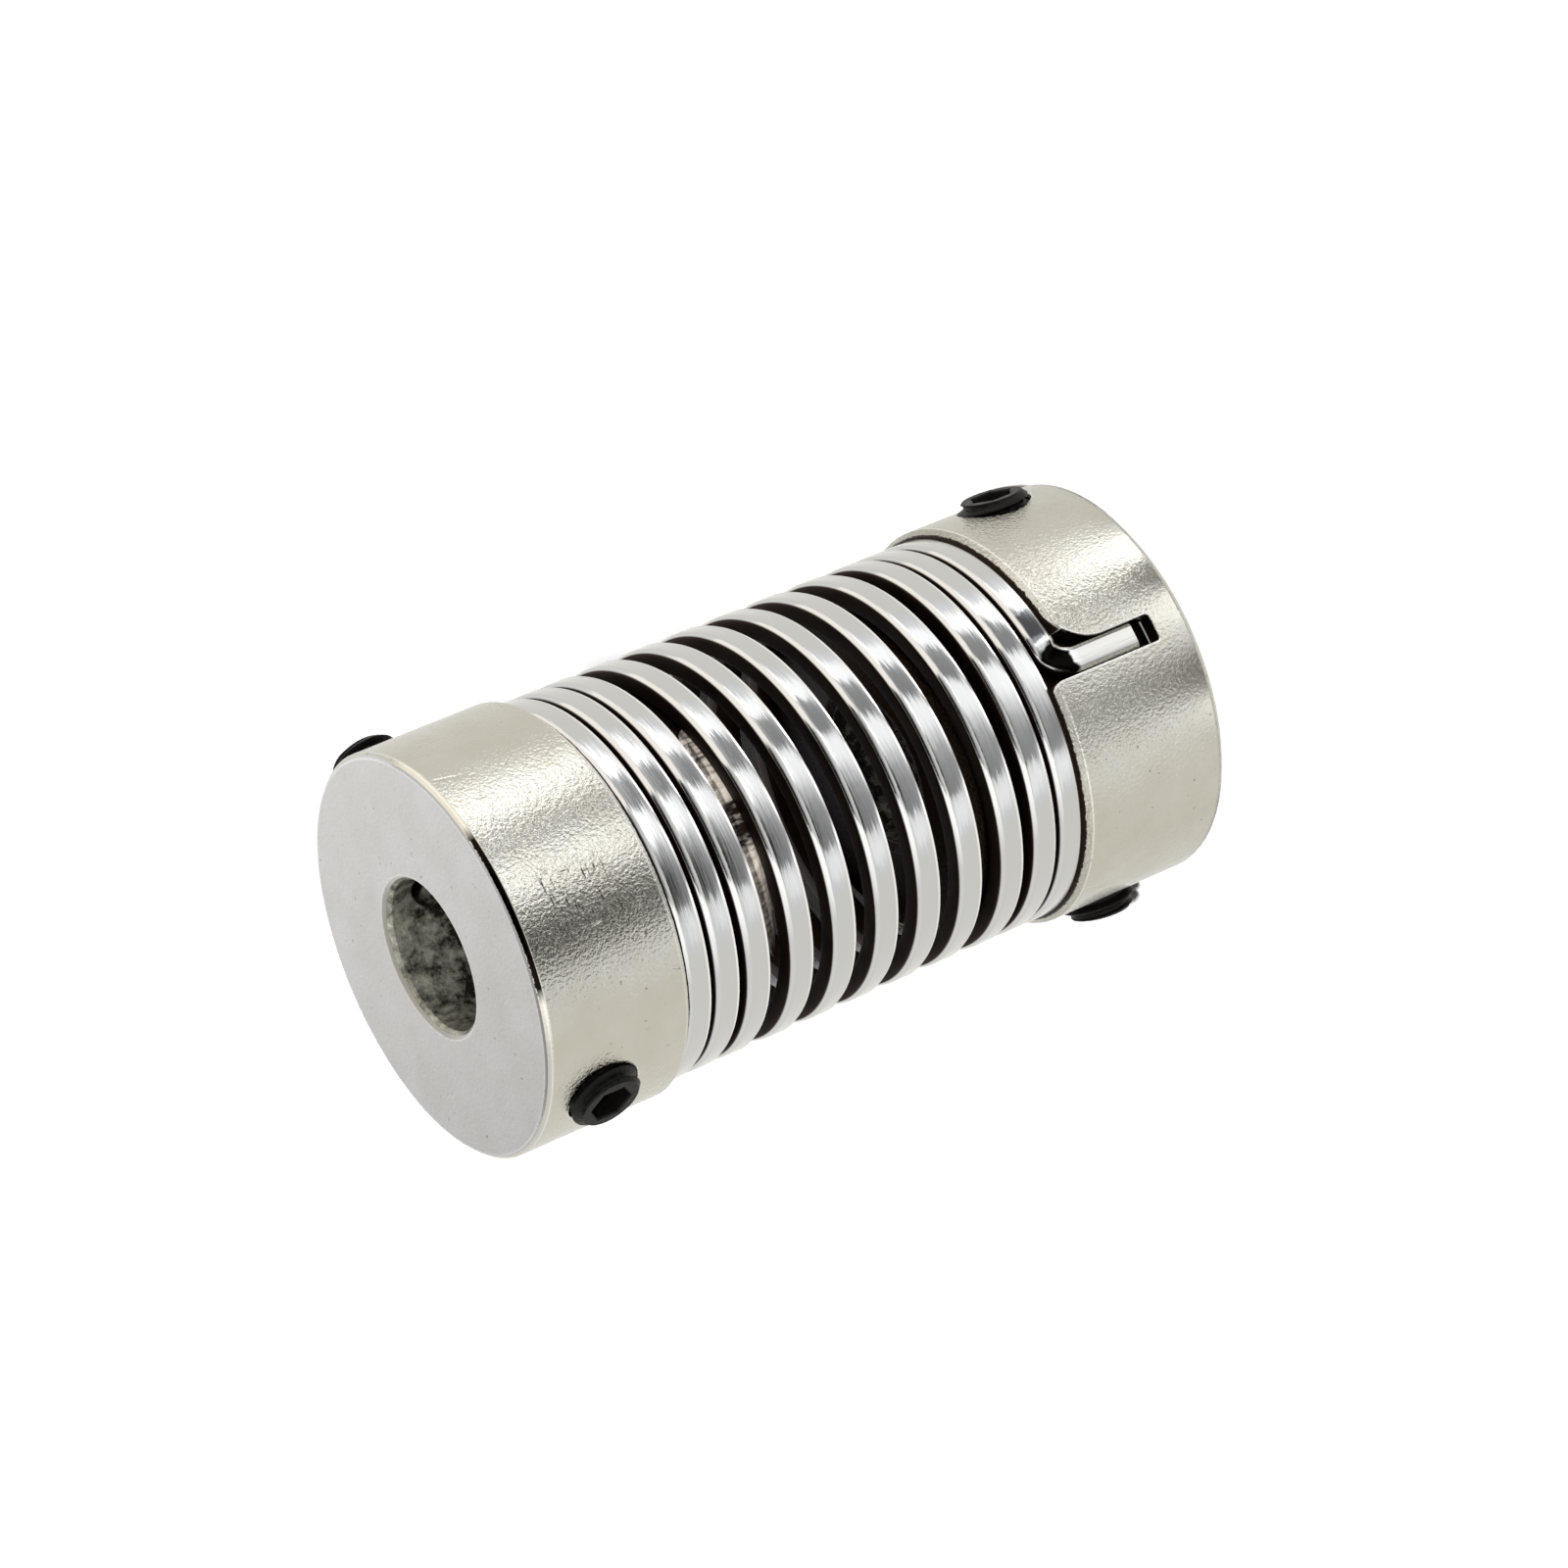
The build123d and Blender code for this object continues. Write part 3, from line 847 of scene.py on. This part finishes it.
# What the walls mirror from the floor in front: for each wall angle from the camera's side, the light at four
# distances from the wall, that is on the lower hub, the first coils, the last coils and the upper hub.
floorBands = {
    "distances": (9.5, 12.0, 47.0, 51.0),
    "reach": 300.0,
    "gap": 0.1,  # from the wall
    "lift": 0.05,  # above the floor
    "color": "#FCFDFF",
    "levels": [
        (42.0, 0.95, 0.95, 0.95, 0.95),
        (38.8, 1.25, 1.05, 1.05, 1.70),
        (35.8, 1.75, 1.15, 1.15, 2.30),
        (35.3, 2.80, 1.65, 1.65, 2.90),
        (28.0, 3.00, 1.70, 1.70, 3.00),
        (27.2, 1.30, 0.55, 0.50, 1.00),
        (24.0, 0.42, 0.42, 0.42, 0.70),
        (18.0, 0.42, 0.36, 0.34, 0.60),
        (16.4, 0.75, 0.50, 0.45, 0.85),
        (15.4, 1.50, 1.30, 1.20, 1.70),
        (13.8, 1.75, 1.55, 1.50, 2.30),
        (8.0, 1.75, 1.55, 1.45, 2.40),
        (6.0, 1.45, 1.45, 1.20, 1.70),
        (3.0, 1.20, 1.10, 0.74, 0.60),
        (-1.0, 0.85, 0.69, 0.38, 0.18),
        (-5.2, 0.38, 0.52, 0.28, 0.06),
        (-10.0, 0.36, 0.43, 0.26, 0.06),
        (-13.5, 0.50, 0.42, 0.30, 0.20),
        (-14.8, 0.70, 0.50, 0.40, 0.45),
        (-15.6, 1.05, 1.20, 1.15, 0.85),
        (-19.0, 1.45, 1.35, 1.30, 1.02),
        (-23.0, 1.15, 1.30, 1.25, 1.00),
        (-26.0, 1.05, 1.00, 1.00, 0.97),
        (-29.0, 0.95, 0.95, 0.95, 0.95),
    ],
}

# Standing cards, placed by what they show in: wall angles from the camera's side, for an edge that leans
# back by the first and by the last of the leans. A card with a fade grows to its strength over that share of
# its width. A foot is a brighter low part: the leans it fades between, and how much brighter it is.
standingCards = {
    "softboxLeft": {"low": (17.0, 62.0), "high": (17.0, 62.0), "leans": (14, 76),
                    "strength": 1.45, "color": "#FFFAF3"},
    "blackFlag": {"low": (-15.5, 17.0), "high": (-6.0, 17.0), "leans": (12, 76),
                  "strength": 0.01, "color": "#FFFFFF", "foot": (24, 38, 0.9)},
    "softboxRight": {"low": (-38.0, -15.5), "high": (-38.0, -6.0), "leans": (12, 76),
                     "strength": 1.65, "color": "#FFFFFF", "fade": 0.6},
}
cardGrid = {"rows": 24, "columns": 8, "distance": 600}

# Behind the part, where the upper end face looks: brighter on one side, cooler than the room.
backLight = {
    "levels": [(-20, 1.08), (-8, 1.45), (8, 0.68), (20, 1.08)],
    "heights": (90.0, 700.0),
    "distance": 600.0,
    "color": "#F5F6FF",
}


def paleFloor():
    material = newMaterial("paleFloor")
    tree = material.node_tree
    path = addNode(tree, "LightPath")
    mirror = addNode(tree, "Math", {"operation": "MAXIMUM"},
                     {0: path.outputs["Is Glossy Ray"], 1: path.outputs["Is Transmission Ray"]})
    lit, shown = [addNode(tree, "BsdfDiffuse", {"Color": (grey, grey, grey, 1)})
                  for grey in (floorSheet["lit"], floorSheet["shown"])]
    direct, passedOn = floorSheet["mirroredStrength"]
    strength = addNode(tree, "MapRange", {"To Min": direct, "To Max": passedOn},
                       {"Value": path.outputs["Diffuse Depth"]})
    mirrored = addNode(tree, "Emission", {"Color": linearColor(floorSheet["mirrored"])},
                       {"Strength": strength})
    unseen = addNode(tree, "MixShader", None, {0: mirror, 1: lit, 2: mirrored})
    surface = addNode(tree, "MixShader", None, {0: path.outputs["Is Camera Ray"], 1: unseen, 2: shown})
    addNode(tree, "OutputMaterial", None, {"Surface": surface})
    return material


def layFloor():
    low = cadBox[0].z / mm
    size = floorSheet["size"]
    corners = [(-size, -size, low), (size, -size, low), (size, size, low), (-size, size, low)]
    floor = buildMesh("floor", corners, [(0, 1, 2, 3)])
    wear(floor, paleFloor())


def glowingCard(name, vertices, across, levels, color):
    faces = []
    for i in range(0, len(vertices) - across, across):
        faces += [(i + k, i + k + 1, i + k + 1 + across, i + k + across) for k in range(across - 1)]
    card = buildMesh(name, vertices, faces, measures={"level": levels})
    material = newMaterial(name)
    tree = material.node_tree
    level = addNode(tree, "Attribute", {"attribute_name": "level"}).outputs["Fac"]
    glow = addNode(tree, "Emission", {"Color": linearColor(color)}, {"Strength": level})
    addNode(tree, "OutputMaterial", None, {"Surface": glow})
    wear(card, material)
    card.visible_camera = card.visible_diffuse = card.visible_shadow = False


def bandsOnFloor():
    bands = floorBands
    rows = (0.0, *bands["distances"], bands["reach"])
    wall = hubRadius + bands["gap"]
    low = cadBox[0].z / mm + bands["lift"]
    vertices, levels = [], []
    for angle, *light in bands["levels"]:
        start = math.radians(studio["azimuth"] + angle)
        heading = math.radians(studio["azimuth"] + 2 * angle)
        for away, level in zip(rows, (light[0], *light, light[-1])):
            vertices.append((wall * math.cos(start) + away * math.cos(heading),
                             wall * math.sin(start) + away * math.sin(heading), low))
            levels.append(level)
    glowingCard("floorBands", vertices, len(rows), levels, bands["color"])


def backCard():
    distance, heights = backLight["distance"], backLight["heights"]
    vertices, levels = [], []
    for side, level in backLight["levels"]:
        turn = math.radians(studio["azimuth"] + 180 + side)
        for height in heights:
            vertices.append((distance * math.cos(turn), distance * math.sin(turn), height))
            levels.append(level)
    glowingCard("backCard", vertices, len(heights), levels, backLight["color"])


def standingCard(name, low, high, leans, strength, color, fade=None, foot=None):
    rows, columns = cardGrid["rows"], cardGrid["columns"]
    elevation = math.radians(studio["elevation"])
    toCamera = Vector((math.cos(elevation), 0, math.sin(elevation)))
    turn = Matrix.Rotation(math.radians(studio["azimuth"]), 3, "Z")
    vertices, levels = [], []
    for i in range(rows + 1):
        share = i / rows
        lean = math.radians(leans[0] + (leans[1] - leans[0]) * share)
        first, last = [low[k] + (high[k] - low[k]) * share for k in (0, 1)]
        for k in range(columns + 1):
            side = math.radians(first + (last - first) * k / columns)
            edge = Vector((math.cos(lean) * math.cos(side), math.cos(lean) * math.sin(side), math.sin(lean)))
            mirrored = 2 * edge.dot(toCamera) * edge - toCamera
            vertices.append(turn @ mirrored * cardGrid["distance"])
            level = 1 + (strength - 1) * min(k / columns / fade, 1) if fade else strength
            if foot:
                bright, gone, more = foot
                level += more * min(max((gone - math.degrees(lean)) / (gone - bright), 0), 1)
            levels.append(level)
    glowingCard(name, vertices, columns + 1, levels, color)


def studioWorld():
    world = bpy.data.worlds.new("studio")
    bpy.context.scene.world = world
    world.use_nodes = True
    tree = world.node_tree
    tree.nodes.clear()
    path = addNode(tree, "LightPath")
    soft, white = [addNode(tree, "Background", {"Color": linearColor("#FFFFFF"), "Strength": strength})
                   for strength in (studio["fill"], 1.0)]
    seen = addNode(tree, "Math", {"operation": "MAXIMUM"},
                   {0: path.outputs["Is Camera Ray"], 1: path.outputs["Is Glossy Ray"]})
    direct, passedOn = studio["white"]
    whiteShare = addNode(tree, "MapRange", {"To Min": direct, "To Max": passedOn},
                         {"Value": path.outputs["Diffuse Depth"]})
    share = addNode(tree, "Math", {"operation": "MULTIPLY"}, {0: seen, 1: whiteShare})
    mix = addNode(tree, "MixShader", None, {0: share, 1: soft, 2: white})
    addNode(tree, "OutputWorld", None, {"Surface": mix})


def aimAt(thing, azimuth, elevation, distance, roll=0.0):
    around, up = math.radians(azimuth), math.radians(elevation)
    back = Vector((math.cos(around) * math.cos(up), math.sin(around) * math.cos(up), math.sin(up)))
    turn = back.to_track_quat("Z", "Y").to_matrix() @ Matrix.Rotation(math.radians(roll), 3, "Z")
    thing.matrix_world = Matrix.Translation((Vector(studio["aim"]) + back * distance) * mm) @ turn.to_4x4()


def keyLamp():
    lamp = bpy.data.lights.new("keyLamp", "SUN")
    lamp.energy = studio["keyPower"]
    lamp.angle = math.radians(studio["keySoftness"])
    holder = bpy.data.objects.new("keyLamp", lamp)
    bpy.context.scene.collection.objects.link(holder)
    aimAt(holder, studio["azimuth"], studio["keyElevation"], studio["keyDistance"])
    holder.visible_glossy = False


layFloor()
bandsOnFloor()
backCard()
for name, card in standingCards.items():
    standingCard(name, **card)
studioWorld()
keyLamp()

cameraData = bpy.data.cameras.new("camera")
cameraData.lens = studio["lens"]
cameraData.sensor_width = studio["sensor"]
cameraData.clip_start = studio["clipStart"] * mm
camera = bpy.data.objects.new("camera", cameraData)
bpy.context.scene.collection.objects.link(camera)
aimAt(camera, studio["azimuth"], studio["elevation"], studio["distance"], studio["roll"])
bpy.context.scene.camera = camera
bpy.context.scene.view_settings.view_transform = "Standard"
print("studio: floor, cards, lamp and camera")
